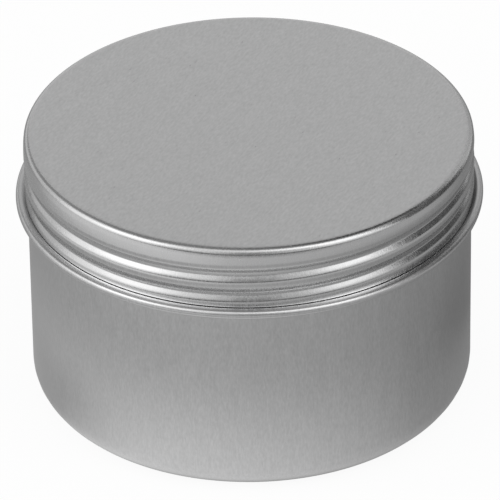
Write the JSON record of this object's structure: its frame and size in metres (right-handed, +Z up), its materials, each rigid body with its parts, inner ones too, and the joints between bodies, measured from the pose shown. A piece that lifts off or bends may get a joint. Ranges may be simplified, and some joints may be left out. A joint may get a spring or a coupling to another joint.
{
  "type": "screw lid tin",
  "caption": "Round metal tin with a screw lid: drawn can with shoulder bead, threaded neck and curled rim, and a flat-topped lid over a foam liner.",
  "frame": {"origin": "centre of the base, on the surface that the tin stands on", "axes": "+Z up along the tin's axis; the pictured front, where the lid's upper thread groove is a little under the corner, faces -Y"},
  "size_m": [0.0863, 0.0862, 0.053],
  "materials": {
    "can_metal": "satin",
    "lid_metal": "satin",
    "liner_foam": "matte"
  },
  "bodies": {
    "tin": {"tin_body": "can_metal"},
    "liner": {"lid_liner": "liner_foam"},
    "lid": {"screw_lid": "lid_metal"}
  },
  "joints": [
    {"name": "lid_lift", "type": "slide", "parent": "tin", "child": "liner", "axis": [0, 0, 1], "range_m": [0, 0.0206]},
    {"name": "lid_turn", "type": "hinge", "parent": "liner", "child": "lid", "pos_m": [0, 0, 0.053], "axis": [0, 0, 1], "range_deg": [0, 1800]}
  ],
  "couplings": [
    {"joint": "lid_lift", "follows": "lid_turn", "m_per_rad": 0.00065253}
  ]
}
